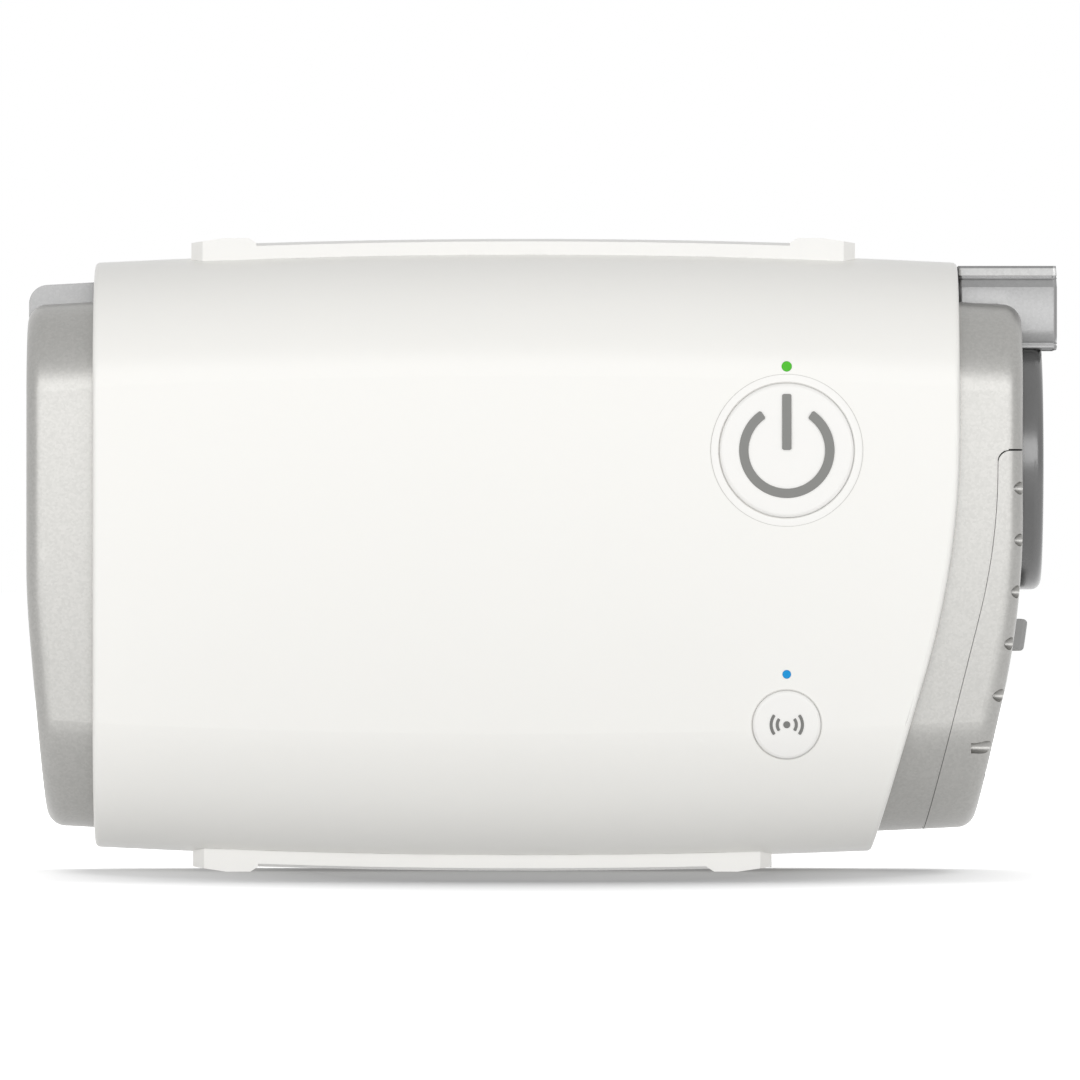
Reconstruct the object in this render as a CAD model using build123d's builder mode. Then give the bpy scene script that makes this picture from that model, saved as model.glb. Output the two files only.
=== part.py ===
from build123d import *
import os
from math import cos, radians, sqrt, tan

# Travel breathing-therapy blower: a white tubular sleeve closed by two metallic ends.
# Millimetres. +X runs along the sleeve towards the air outlet, -Y is the front with
# the buttons, +Z is up. Z = 0 is the surface that the lower rail stands on.

# ---- Driving dimensions -----------------------------------------------------------

# Body form: a rounded section, fullest at the middle of the sleeve
body_depth = 52.0
body_height = 80.1
body_corner = 17.0
crown = 1.45  # fall of top and bottom from the middle to the sleeve's ends
side_crown = 0.5  # the same for front and back
face_bow = 0.9  # how far front and back bulge between their corners
top_bow = 0.5
bend_radius = 113.0  # where an upright end line turns into a leaning one

# Sleeve
sleeve_left = -59.0
sleeve_right = 54.7
sleeve_bend = -0.35  # height of the bend above the body's axis
sleeve_lean = 16.4
sleeve_wall = 2.2
rim_round = 0.7

# Rails on top and bottom
rail_thick = 1.7
rail_depth = 25.0
rail_chamfer = 1.5
rail_pad = 7.6
rail_step = 1.0
rail_tip_run = 4.4
rail_tip_fall = 0.65
top_rail_left = 12.7  # how far each rail stops short of the sleeve's ends
top_rail_right = 13.5
bottom_rail_left = 12.9
bottom_rail_right = 24.5

# Ends of the machine
cap_gap = 0.35
cap_wall = 1.8
rim_recess = 0.6
spigot = 8.0
end_round = 2.5
left_reach = 8.8
left_bend = -5.75
left_lean = -5.0
right_reach = 8.4
right_bend = -7.15
right_lean = 12.6
split_y = -8.0  # silver in front, dark behind
cover_drop = 2.6  # silver stands lower than the dark frame behind it
cover_corner = 12.0

# Filter cover, its seam, tab and filter
seam_reach = 5.1
seam_fall = 12.0  # height of its upright stretch
seam_lean = 14.1
seam_bend_radius = 80.0
seam_rise = 1.35  # its top above the outlet's axis
seam_corner = 1.6
seam_gap = 0.25
hook_radius = 2.6
hook_thick = 1.0
hook_width = 5.0
hook_y = 5.0
hole_radius = 0.85
hole_rise = 6.8  # between holes in one column, next columns staggered by half
hole_spread = 3.6  # between columns
hole_columns = 13
hole_rows = 7
hole_drop = 3.55  # the first row below the outlet's axis
hole_depth = 2.4
hole_margin = 1.7
tab_width = 12.0
tab_height = 4.2
tab_reach = 1.9
tab_gap = 6.0  # middle of the tab below the collar
tab_round = 0.6
filter_thick = 4.0
filter_rise = 9.55  # lower edge above the body's bottom
filter_drop = 3.9  # upper edge below the collar
filter_depth = 36.0
filter_corner = 4.0
window_pitch = 5.6
window_size = 4.4
window_rows = 3
window_columns = 4

# Air outlet
outlet_drop = 27.75  # axis below the top of the body
collar_radius = 16.9
collar_reach = 2.85
collar_round = 1.3
collar_gap = 0.35
port_radius = 12.5
port_depth = 8.45
port_ledge = 0.6
seal_thick = 1.0
seal_bore = 9.4
duct_radius = 10.0
duct_wall = 1.8
hood_width = 16.0
hood_reach = 4.7
hood_inset = 2.0
hood_drop = 14.9
hood_plate = 3.0
hood_bevel = 0.9
hood_groove = 1.0
hood_groove_depth = 0.5
port_chamfer = 0.4

# Buttons and lights
button_setback = 22.7  # from the sleeve's right end
power_drop = 26.35  # below the body's top
power_radius = 8.83
power_travel = 0.8  # stops against its switch
bezel_width = 0.93
wireless_rise = 17.8  # above the body's bottom
wireless_radius = 4.5
wireless_travel = 0.5
button_proud = 0.35
button_round = 0.5
button_gap = 0.17
bezel_gap = 0.1
flange_rim = 1.4
button_rim = 1.0
land_rim = 2.0
flange_thick = 0.8
flange_depth = 3.1  # from the front of the body to the bezel's flange
power_light_up = 11.0
power_light_radius = 0.66
wireless_light_up = 6.6
wireless_light_radius = 0.55

# Circuit board
board_depth = 10.0  # from the front of the body
board_thick = 1.6
board_setback = 16.7  # from the sleeve's right end
board_width = 25.0
board_rise = 11.3
board_drop = 12.3
switch_size = 6.2
switch_height = 3.5
stem_radius = 1.6
stem_inside = 0.8  # how far a stem reaches into its switch at rest
stem_room = 1.3  # left under a stem when its button is right down
capacitor_radius = 2.4
capacitor_height = 3.2
light_height = 0.9

# Blower
blower_setback = 27.0  # from the left edge of the circuit board
blower_drop = 14.0  # its axis lies this far below the outlet's
motor_depth = 3.6  # from the front of the body
volute_radius = 24.0
volute_wall = 1.6
stub_radius = 8.1
stub_bore = 6.7
stub_reach = 34.0
stub_overlap = 5.5
eye_radius = 9.0
ear_spread = 20.5
ear_radius = 5.2
ear_thick = 3.0
ear_y = 4.0
grommet_neck = 3.35
grommet_flange = 4.8
grommet_rim = 1.5
post_radius = 2.0
impeller_radius = 18.5
impeller_disc = 1.2
impeller_gap = 2.0
blade_gap = 4.1  # between the blades and the rear half
blade_thick = 0.8
blade_curve = 4.0
blade_tip = 2.0
blade_belly = 0.6
blade_count = 9
hub_radius = 4.0
hub_length = 8.4
shaft_radius = 1.5
motor_radius = 13.0
motor_length = 9.4
motor_wall = 1.2
stator_bore = 6.4
core_wall = 1.8
tooth_count = 6
tooth_width = 2.2
coil_thick = 0.9
magnet_radius = 6.0
bearing_radius = 4.0
bearing_width = 2.5

# Chassis
chassis_depth = 7.4  # from the back of the body
chassis_thick = 1.6
chassis_inset = 12.05
runner_z = 15.0
runner_width = 4.0
boss_radius = 3.0
boss_length = 16.0
boss_inset = 8.5  # from the back of the body
boss_drop = 16.3  # upper boss below the body's top
boss_below = 16.05  # lower boss below the outlet's axis
post_inset = 3.5  # from the board's left edge
upper_post_x = 14.0
lower_post_x = 22.0
box_post_x = 13.0
upper_post_gap = 2.95  # from the duct
lower_post_gap = 4.05
box_post_rise = 14.3

# Inlet box with its muffler foam
box_post_length = 2.4
box_gap = 0.55
box_wall = 1.5
box_hole_radius = 6.0
box_hole_y = 7.0
foam_setback = 3.0
sensor_length = 12.0
sensor_width = 10.0
sensor_thick = 4.0

# Power inlet
socket_y = 7.0
socket_rise = 22.3
socket_size = 10.0
socket_length = 13.5
socket_recess = 5.0
recess_radius = 4.6
shroud_wall = 1.5
barrel_radius = 3.2
barrel_depth = 7.0
pin_radius = 1.0
lead_radius = 1.0

# Clearances and screws
seat_gap = 0.3
fit_gap = 0.05
run_gap = 0.03
screw_radius = 1.2
screw_head = 2.3
screw_head_height = 1.4
screw_length = 7.0
pilot_radius = 0.9
washer_rim = 0.9

# ---- Places worked out from them ---------------------------------------------------

base_z = rail_thick
top_z = rail_thick + body_height
axis_z = (base_z + top_z) / 2
front_y = -body_depth / 2
back_y = body_depth / 2
mid_x = (sleeve_left + sleeve_right) / 2
half_length = (sleeve_right - sleeve_left) / 2
span = half_length + left_reach + hood_reach + 2.0
reach = body_depth + body_height  # long enough for any cut to pass right through
end_span = body_height / 2 + 15.0  # end lines run this far above and below the axis
cap_inset = sleeve_wall + cap_gap
hollow_inset = cap_inset + cap_wall
plate_x = sleeve_right - rim_recess
outlet_height = top_z - outlet_drop
seam_top = outlet_height + seam_rise
seam_turn = seam_top - seam_fall
right_end = sleeve_right + right_reach
left_end = sleeve_left - left_reach
collar_end = right_end + collar_reach
duct_top = outlet_height + duct_radius
duct_low = outlet_height - duct_radius
collar_low = outlet_height - collar_radius
board_right = sleeve_right - board_setback
board_left = board_right - board_width
blower_x = board_left - blower_setback
blower_z = outlet_height - blower_drop
stub_end = blower_x + stub_reach
bezel_radius = power_radius + button_gap + bezel_width


# ---- Forms that several pieces share -----------------------------------------------


def body_section(x, inset, top_drop, top_corner):
    """Section of the body at one place along it, drawn in by inset."""
    fall = ((x - mid_x) / half_length) ** 2
    half_depth = body_depth / 2 - side_crown * fall - inset
    side = half_depth - face_bow
    top = axis_z + body_height / 2 - crown * fall - inset - top_drop
    bottom = axis_z - body_height / 2 + crown * fall + inset
    middle = (top + bottom) / 2
    low, high = bottom + top_bow, top - top_bow
    with BuildSketch(Plane.YZ.offset(x)) as section:
        with BuildLine():
            ThreePointArc((-side, low), (0, bottom), (side, low))
            ThreePointArc((side, low), (half_depth, middle), (side, high))
            ThreePointArc((side, high), (0, top), (-side, high))
            ThreePointArc((-side, high), (-half_depth, middle), (-side, low))
        make_face()
        fillet(section.vertices().group_by(Axis.Y)[0], body_corner - inset)
        fillet(section.vertices().group_by(Axis.Y)[-1], top_corner)
    return section.sketch


def body_form(inset, mode=Mode.ADD, top_drop=0.0, top_corner=None):
    """Loft the crowned body, drawn in by inset, past both of its ends."""
    corner = top_corner or body_corner - inset
    stations = (mid_x - span, mid_x, mid_x + span)
    loft([body_section(x, inset, top_drop, corner) for x in stations], mode=mode)


def end_line(x, bend=0.0, lean=0.0):
    """An end seen from the front: upright above its bend and leaning in below it."""
    top, low = axis_z + end_span, axis_z - end_span
    if lean == 0:
        return Line((x, top), (x, low))
    bend_z = axis_z + bend
    foot = x - (bend_z - low) * tan(radians(lean))
    return FilletPolyline((x, top), (x, bend_z), (foot, low), radius=bend_radius)


def end_x(edge, z):
    """Where such an end stands at one height."""
    x, bend, lean = edge
    below = axis_z + bend - z
    tangent = bend_radius * tan(radians(lean / 2))
    if below < -tangent:
        return x
    if below < tangent * cos(radians(lean)):
        return x - bend_radius + sqrt(bend_radius**2 - (below + tangent) ** 2)
    return x - below * tan(radians(lean))


def between(left, right, mode=Mode.INTERSECT, depths=(-reach, reach)):
    """Keep what lies between two ends, or work on it in another mode."""
    with BuildSketch(Plane.XZ.offset(-depths[1])) as outline:
        with BuildLine():
            start = end_line(*left)
            stop = end_line(*right)
            Line(start @ 0, stop @ 0)
            Line(start @ 1, stop @ 1)
        make_face()
    extrude(outline.sketch, amount=depths[1] - depths[0], mode=mode)


def sleeve_edge(shift):
    """The sleeve's leaning right end, moved along X."""
    return (sleeve_right + shift, sleeve_bend, sleeve_lean)


def right_edge(shift):
    return (right_end + shift, right_bend, right_lean)


def left_edge(shift):
    return (left_end + shift, left_bend, left_lean)


def round_end(part, side, radius):
    """Round the rim of the outermost end: side is 1 for the right and -1 for the left."""
    ends = part.faces().filter_by(GeomType.BSPLINE, reverse=True)
    flanks = part.faces().filter_by(GeomType.BSPLINE).edges()
    limit = {1: right_edge(-cap_wall - end_round), -1: left_edge(cap_wall + end_round)}[side]
    outer = ends.filter_by(lambda f: side * (f.center().X - end_x(limit, f.center().Z)) > 0)
    fillet([edge for edge in outer.edges() if edge in flanks], radius)


def seam_region(shift, mode):
    """Everything beyond the filter cover's seam, the seam moved outwards by shift."""
    top = seam_top + shift
    x = sleeve_right + seam_reach - shift
    low = axis_z - end_span
    foot = x - (seam_turn - low) * tan(radians(seam_lean))
    far = sleeve_right + reach
    corners = ((far, top), (x, top), (x, seam_turn), (foot, low))
    with BuildSketch(Plane.XZ) as region:
        with BuildLine():
            seam = FilletPolyline(*corners, radius=[seam_corner, seam_bend_radius])
            Polyline(seam @ 1, (far, low), seam @ 0)
        make_face()
    extrude(region.sketch, amount=reach, both=True, mode=mode)


def block(x, y, z, mode=Mode.ADD):
    """Box between two values on each axis."""
    with Locations(((x[0] + x[1]) / 2, (y[0] + y[1]) / 2, (z[0] + z[1]) / 2)):
        Box(x[1] - x[0], y[1] - y[0], z[1] - z[0], mode=mode)


def drum(x, z, radius, y, mode=Mode.ADD):
    """Round bar along Y between two depths."""
    with Locations((x, (y[0] + y[1]) / 2, z)):
        Cylinder(radius, y[1] - y[0], rotation=(90, 0, 0), mode=mode)


def rod(y, z, radius, x, mode=Mode.ADD):
    """Round bar along X between two places."""
    with Locations(((x[0] + x[1]) / 2, y, z)):
        Cylinder(radius, x[1] - x[0], rotation=(0, 90, 0), mode=mode)


# ---- Sleeve and rails ---------------------------------------------------------------

button_x = sleeve_right - button_setback
power_place = (button_x, top_z - power_drop)
wireless_place = (button_x, base_z + wireless_rise)
power_light_place = (button_x, power_place[1] + power_light_up)
wireless_light_place = (button_x, wireless_place[1] + wireless_light_up)
flange_front = front_y + flange_depth
bezel_flange = (flange_front, flange_front + flange_thick)
button_flange = (bezel_flange[1] + fit_gap, bezel_flange[1] + fit_gap + flange_thick)
land_front = front_y + sleeve_wall + seat_gap
through_front = (-body_depth, button_flange[0])

with BuildPart() as sleeve:
    body_form(0)
    between((sleeve_left,), sleeve_edge(0))
    body_form(sleeve_wall, mode=Mode.SUBTRACT)
    rims = sleeve.faces().filter_by(GeomType.BSPLINE, reverse=True)
    fillet(rims.edges(), rim_round)
    # lands that the bezel's flange and the small button's flange lie against
    bezel_land = (land_front, bezel_flange[0] - fit_gap)
    button_land = (land_front, button_flange[0] - fit_gap)
    drum(*power_place, bezel_radius + flange_rim, bezel_land)
    drum(*wireless_place, wireless_radius + land_rim, button_land)
    drum(*power_place, bezel_radius + bezel_gap, through_front, Mode.SUBTRACT)
    drum(*wireless_place, wireless_radius + button_gap, through_front, Mode.SUBTRACT)
    drum(*power_light_place, power_light_radius + run_gap, through_front, Mode.SUBTRACT)
    drum(*wireless_light_place, wireless_light_radius + run_gap, through_front, Mode.SUBTRACT)


def rail_form(side, ends):
    """Rail on the top (side 1) or bottom (-1): a thin crowned run between two pads."""
    pad_z = axis_z + side * (body_height / 2 + rail_thick)
    tip_z = pad_z - side * rail_tip_fall
    body_form(-rail_thick)
    for start, inward in ((ends[0], 1), (ends[1], -1)):
        with BuildSketch(Plane.XZ) as pad:
            with BuildLine():
                Polyline(
                    (start, axis_z),
                    (start, tip_z),
                    (start + inward * rail_tip_run, pad_z),
                    (start + inward * rail_pad, pad_z),
                    (start + inward * (rail_pad + rail_step), tip_z),
                    (start + inward * (rail_pad + rail_step), axis_z),
                    close=True,
                )
            make_face()
        extrude(pad.sketch, amount=rail_depth, both=True)
    with BuildSketch(Plane.XY.offset(axis_z)) as plan:
        with Locations(((ends[0] + ends[1]) / 2, 0)):
            Rectangle(ends[1] - ends[0], rail_depth)
        chamfer(plan.vertices(), rail_chamfer)
    extrude(plan.sketch, amount=side * reach, mode=Mode.INTERSECT)
    body_form(0, mode=Mode.SUBTRACT)


with BuildPart() as top_rail:
    rail_form(1, (sleeve_left + top_rail_left, sleeve_right - top_rail_right))

with BuildPart() as bottom_rail:
    rail_form(-1, (sleeve_left + bottom_rail_left, sleeve_right - bottom_rail_right))

# ---- Left end -----------------------------------------------------------------------

left_plate = sleeve_left + rim_recess  # outer face of the plate that closes the sleeve
pocket_front = split_y + cap_wall
tall = (axis_z - reach, axis_z + reach)
boss_y = back_y - boss_inset
lower_boss = outlet_height - boss_below
boss_places = [(boss_y, top_z - boss_drop), (boss_y, lower_boss)]
socket_place = (socket_y, base_z + socket_rise)
left_at_socket = end_x(left_edge(0), socket_place[1])
recess_floor = left_at_socket + socket_recess

with BuildPart() as left_ring_hollow:
    body_form(hollow_inset)
    between((left_plate + cap_wall,), (left_plate + spigot + cap_wall,))

with BuildPart() as left_pocket:
    body_form(hollow_inset)
    between(left_edge(cap_wall), (left_plate,))
    round_end(left_pocket, -1, end_round - cap_wall)
    block((left_end, left_plate), (-reach, pocket_front), tall, Mode.SUBTRACT)

with BuildPart() as left_end_frame:
    body_form(cap_inset)
    between(left_edge(0), (left_plate + spigot,))
    round_end(left_end_frame, -1, end_round)
    block((left_end - cap_wall, left_plate), (-reach, split_y), tall, Mode.SUBTRACT)
    add(left_pocket.part, mode=Mode.SUBTRACT)
    add(left_ring_hollow.part, mode=Mode.SUBTRACT)
    # shroud and mouth of the power inlet, and the socket's way through the plate
    rod(*socket_place, recess_radius + shroud_wall, (left_at_socket + cap_wall / 2, recess_floor))
    rod(*socket_place, recess_radius, (left_end - cap_wall, recess_floor), Mode.SUBTRACT)
    half = socket_size / 2 + fit_gap
    block(
        (recess_floor, left_plate + spigot),
        (socket_y - half, socket_y + half),
        (socket_place[1] - half, socket_place[1] + half),
        Mode.SUBTRACT,
    )
    for place in boss_places:
        rod(*place, screw_radius + fit_gap, (left_plate, left_plate + cap_wall), Mode.SUBTRACT)

with BuildPart() as left_cover_hollow:
    body_form(hollow_inset, top_drop=cover_drop, top_corner=cover_corner - cap_wall)
    between(left_edge(cap_wall), (left_plate + cap_wall,))
    round_end(left_cover_hollow, -1, end_round - cap_wall)

with BuildPart() as left_end_cover:
    body_form(cap_inset, top_drop=cover_drop, top_corner=cover_corner)
    between(left_edge(0), (left_plate,))
    round_end(left_end_cover, -1, end_round)
    add(left_cover_hollow.part, mode=Mode.SUBTRACT)
    block((left_end - cap_wall, left_plate + cap_wall), (split_y, reach), tall, Mode.SUBTRACT)

# ---- Right end, with the air outlet and the filter bay --------------------------------

plate_out = -rim_recess  # faces of the plate, as shifts of the sleeve's leaning end
plate_in = -rim_recess - cap_wall
plate_x = sleeve_right + plate_out
outlet = (0.0, outlet_height)
hood_end = right_end + hood_reach
hood_top = top_z - hood_inset
hood_y = (split_y, split_y + hood_width)
seat_x = plate_x + screw_head_height / 2  # flat seats of the two screws
filter_low = base_z + filter_rise
filter_high = collar_low - filter_drop
filter_middle = (filter_low + filter_high) / 2

with BuildPart() as right_ring_hollow:
    body_form(hollow_inset)
    between(sleeve_edge(plate_out - spigot - cap_wall), sleeve_edge(plate_in))

with BuildPart() as right_pocket:
    body_form(hollow_inset)
    between(sleeve_edge(plate_out), right_edge(-cap_wall))
    round_end(right_pocket, 1, end_round - cap_wall)
    upper = (seam_top - cap_wall, axis_z + reach)
    block((mid_x, right_end), (-reach, pocket_front), upper, Mode.SUBTRACT)

with BuildPart() as right_end_frame:
    body_form(cap_inset)
    between(sleeve_edge(plate_out - spigot), right_edge(0))
    round_end(right_end_frame, 1, end_round)
    between(sleeve_edge(plate_out), (hood_end,), Mode.SUBTRACT, (-reach, split_y))
    add(right_pocket.part, mode=Mode.SUBTRACT)
    add(right_ring_hollow.part, mode=Mode.SUBTRACT)
    seam_region(seam_gap, Mode.SUBTRACT)
    # boss behind the collar and flat seats for the screws
    rod(*outlet, duct_radius + cap_wall, (plate_x - spigot, plate_x))
    for place in boss_places:
        seat_back = end_x(sleeve_edge(plate_in), place[1]) + fit_gap
        rod(*place, screw_head + seat_gap, (seat_back, seat_x))
    # hood over the outlet, its top edge bevelled and a groove under the bevel
    with BuildSketch(Plane.XZ.offset(-hood_y[1])) as hood:
        with BuildLine():
            Polyline(
                (sleeve_right + seat_gap, hood_top - hood_plate),
                (sleeve_right + seat_gap, hood_top),
                (hood_end, hood_top),
                (hood_end, outlet_height + hood_drop),
                (right_end - cap_wall, outlet_height + hood_drop),
                (right_end - cap_wall, hood_top - hood_plate),
                close=True,
            )
        make_face()
    extrude(hood.sketch, amount=hood_width)
    ridge = right_end_frame.edges().filter_by(Axis.X).group_by(Axis.Z)[-1]
    chamfer(ridge, hood_bevel)
    groove_top = hood_top - hood_bevel - hood_groove_depth / 2
    block(
        (sleeve_right, hood_end),
        (split_y, split_y + hood_groove_depth),
        (groove_top - hood_groove, groove_top),
        Mode.SUBTRACT,
    )
    rod(*outlet, collar_radius + fit_gap, (plate_x, collar_end + collar_gap), Mode.SUBTRACT)
    rod(*outlet, duct_radius + fit_gap, (plate_x - 2 * spigot, plate_x), Mode.SUBTRACT)
    for place in boss_places:
        rod(*place, screw_radius + fit_gap, (plate_x - spigot, seat_x), Mode.SUBTRACT)
    # windows that let the filtered air into the inlet box
    with Locations((plate_x - spigot, 0, filter_middle)):
        with Locations(Plane.YZ):
            with GridLocations(window_pitch, window_pitch, window_columns, window_rows):
                Box(window_size, window_size, 2 * spigot, mode=Mode.SUBTRACT)

with BuildPart() as cover_hollow:
    body_form(hollow_inset, top_drop=cover_drop, top_corner=cover_corner - cap_wall)
    between(sleeve_edge(plate_in), right_edge(-cap_wall))
    round_end(cover_hollow, 1, end_round - cap_wall)

with BuildPart() as right_end_cover:
    body_form(cap_inset, top_drop=cover_drop, top_corner=cover_corner)
    between(sleeve_edge(plate_out), right_edge(0))
    round_end(right_end_cover, 1, end_round)
    add(cover_hollow.part, mode=Mode.SUBTRACT)
    seam_region(seam_gap, Mode.SUBTRACT)
    block((mid_x, hood_end), (split_y, reach), tall, Mode.SUBTRACT)
    rod(*outlet, collar_radius + collar_gap, (mid_x, hood_end), Mode.SUBTRACT)

hinge_z = base_z + crown + cap_inset
hinge_x = sleeve_right + seam_reach - (seam_turn - hinge_z) * tan(radians(seam_lean))
tab_middle = collar_low - tab_gap


def is_solid_skin(y, z):
    """Whether a hole of the intake pattern may be drilled at this place."""
    from_outlet = sqrt(y**2 + (z - outlet_height) ** 2)
    under_tab = abs(y) < tab_width / 2 + hole_margin
    at_tab = abs(z - tab_middle) < tab_height / 2 + hole_margin
    clear_of_outlet = from_outlet > collar_radius + collar_gap + hole_margin
    return clear_of_outlet and not (under_tab and at_tab)


def intake_places():
    """Staggered pattern of holes over the end face of the filter cover."""
    middle = hole_columns // 2
    for column in range(-middle, middle + 1):
        y = column * hole_spread
        lower = hole_rise / 2 if column % 2 else 0.0
        for row in range(hole_rows):
            z = outlet_height - hole_drop - lower - row * hole_rise
            if z > hinge_z + end_round + hole_margin and is_solid_skin(y, z):
                yield (end_x(right_edge(-hole_depth / 2), z), y, z)


with BuildPart() as filter_cover:
    body_form(cap_inset, top_drop=cover_drop, top_corner=cover_corner)
    between(sleeve_edge(plate_out), right_edge(0))
    round_end(filter_cover, 1, end_round)
    seam_region(0, Mode.INTERSECT)
    add(cover_hollow.part, mode=Mode.SUBTRACT)
    rod(*outlet, collar_radius + collar_gap, (mid_x, hood_end), Mode.SUBTRACT)
    with Locations(*intake_places()):
        Cylinder(hole_radius, hole_depth + hole_radius, rotation=(0, 90, 0), mode=Mode.SUBTRACT)
    # two fingers that hook behind the frame's lower lip, round the line the cover turns on
    finger_radius = hook_radius + hook_thick
    for y in (-hook_y, hook_y):
        with BuildSketch(Plane.XZ.offset(-y - hook_width / 2)) as finger:
            with Locations((hinge_x, hinge_z)):
                Circle(finger_radius)
                Circle(hook_radius, mode=Mode.SUBTRACT)
                foot = (2 * finger_radius, 2 * finger_radius)
                Rectangle(*foot, align=(Align.CENTER, Align.MAX), mode=Mode.SUBTRACT)
            with Locations((hinge_x, hinge_z + cap_wall / 2)):
                Rectangle(*foot, align=(Align.CENTER, Align.MAX), mode=Mode.SUBTRACT)
            with Locations((hinge_x, hinge_z + cap_wall + seat_gap)):
                Rectangle(*foot, align=(Align.MAX, Align.MAX), mode=Mode.SUBTRACT)
        extrude(finger.sketch, amount=hook_width)

with BuildPart() as cover_tab:
    tab_heights = (tab_middle - tab_height / 2, tab_middle + tab_height / 2)
    block((mid_x, hood_end), (-tab_width / 2, tab_width / 2), tab_heights)
    between(right_edge(0), right_edge(tab_reach))
    outer_face = cover_tab.faces().sort_by(Axis.X)[-1]
    fillet(outer_face.edges(), tab_round)

with BuildPart() as air_filter:
    with BuildSketch(Plane.YZ.offset(mid_x)) as pad:
        with Locations((0, filter_middle)):
            RectangleRounded(filter_depth, filter_high - filter_low, filter_corner)
    extrude(amount=reach)
    between(sleeve_edge(plate_out + seat_gap), sleeve_edge(plate_out + seat_gap + filter_thick))

port_floor = collar_end - port_depth
seal_floor = port_floor - seal_thick - seat_gap
seal_radius = port_radius - port_ledge
duct_bore = duct_radius - duct_wall

with BuildPart() as outlet_collar:
    rod(*outlet, collar_radius, (plate_x, collar_end))
    rims = outlet_collar.edges().filter_by(GeomType.CIRCLE).sort_by(Axis.X)
    fillet(rims[-1], collar_round)
    rod(*outlet, port_radius, (port_floor, collar_end), Mode.SUBTRACT)
    mouth = outlet_collar.edges().filter_by(GeomType.CIRCLE).sort_by(SortBy.RADIUS)
    chamfer(mouth.group_by(Axis.X)[-1].sort_by(SortBy.RADIUS)[0], port_chamfer)
    rod(*outlet, seal_radius, (seal_floor, port_floor), Mode.SUBTRACT)
    rod(*outlet, duct_bore, (plate_x, seal_floor), Mode.SUBTRACT)

with BuildPart() as outlet_seal:
    rod(*outlet, seal_radius - fit_gap, (seal_floor, seal_floor + seal_thick))
    rod(*outlet, seal_bore, (seal_floor, seal_floor + seal_thick), Mode.SUBTRACT)

duct_start = stub_end - stub_overlap
with BuildPart() as outlet_duct:
    rod(*outlet, duct_radius, (duct_start, plate_x))
    rod(*outlet, duct_bore, (duct_start, plate_x), Mode.SUBTRACT)

# ---- Buttons and lights --------------------------------------------------------------

with BuildPart() as power_bezel:
    drum(*power_place, bezel_radius, (-reach, bezel_flange[0]))
    body_form(0, mode=Mode.INTERSECT)
    drum(*power_place, bezel_radius + flange_rim, bezel_flange)
    drum(*power_place, power_radius + button_gap, (-reach, bezel_flange[1]), Mode.SUBTRACT)
    drum(*power_light_place, power_light_radius + fit_gap, bezel_flange, Mode.SUBTRACT)


def button_form(button, place, radius):
    """Button cap with a rounded rim, standing proud of the sleeve, on a wider flange."""
    drum(*place, radius, (-reach, button_flange[0]))
    body_form(-button_proud, mode=Mode.INTERSECT)
    fillet(button.edges().group_by(Axis.Y)[0], button_round)
    drum(*place, radius + button_rim, button_flange)


with BuildPart() as power_button:
    button_form(power_button, power_place, power_radius)

with BuildPart() as wireless_button:
    button_form(wireless_button, wireless_place, wireless_radius)

board_front = front_y + board_depth
switch_front = board_front - switch_height
switch_half = switch_size / 2


def switch_form(place, travel):
    """Square push switch on the board, with a round hole that its stem sinks into."""
    x = (place[0] - switch_half, place[0] + switch_half)
    z = (place[1] - switch_half, place[1] + switch_half)
    block(x, (switch_front, board_front), z)
    hole_floor = switch_front + stem_inside + travel + stem_room
    drum(*place, stem_radius + fit_gap, (switch_front, hole_floor), Mode.SUBTRACT)


with BuildPart() as power_switch:
    switch_form(power_place, power_travel)

with BuildPart() as wireless_switch:
    switch_form(wireless_place, wireless_travel)

with BuildPart() as power_switch_stem:
    drum(*power_place, stem_radius, (button_flange[1], switch_front + stem_inside))

with BuildPart() as wireless_switch_stem:
    drum(*wireless_place, stem_radius, (button_flange[1], switch_front + stem_inside))

light_top = board_front - light_height


def light_pipe_form(place, radius):
    """Clear pin from a light on the board to the sleeve's outer face."""
    drum(*place, radius, (-reach, light_top))
    body_form(0, mode=Mode.INTERSECT)


with BuildPart() as power_light_pipe:
    light_pipe_form(power_light_place, power_light_radius)

with BuildPart() as wireless_light_pipe:
    light_pipe_form(wireless_light_place, wireless_light_radius)

with BuildPart() as status_lights:
    for x, z in (power_light_place, wireless_light_place):
        half = light_height
        block((x - half, x + half), (light_top, board_front), (z - half, z + half))

# ---- Circuit board -------------------------------------------------------------------

board_back = board_front + board_thick
board_low = base_z + board_rise
board_high = top_z - board_drop
upper_post_z = duct_top + upper_post_gap
lower_post_z = duct_low - lower_post_gap
box_post_z = base_z + box_post_rise
board_posts = [
    (board_left + post_inset, upper_post_z),
    (board_left + upper_post_x, upper_post_z),
    (board_left + post_inset, lower_post_z),
    (board_left + lower_post_x, lower_post_z),
]
box_posts = [(board_left + post_inset, box_post_z), (board_left + box_post_x, box_post_z)]

with BuildPart() as main_board:
    block((board_left, board_right), (board_front, board_back), (board_low, board_high))
    for x, z in board_posts + box_posts:
        drum(x, z, screw_radius + fit_gap, (board_front, board_back), Mode.SUBTRACT)

# chips and connectors: place on the board, width, height and thickness of each
chips = {
    "processor": (11.0, board_low + 18.75, 9.0, 9.0, 1.2),
    "memory": (11.0, board_low + 11.0, 5.0, 4.0, 1.0),
    "radio": (6.0, board_high - 9.25, 6.5, 8.0, 1.8),
    "motor_connector": (3.5, board_high - 18.75, 4.5, 8.0, 3.0),
    "power_connector": (3.5, board_low + 11.75, 4.5, 7.0, 3.0),
}
capacitor_places = ((16.6, board_high - 22.5), (21.6, board_high - 22.5))

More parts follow.
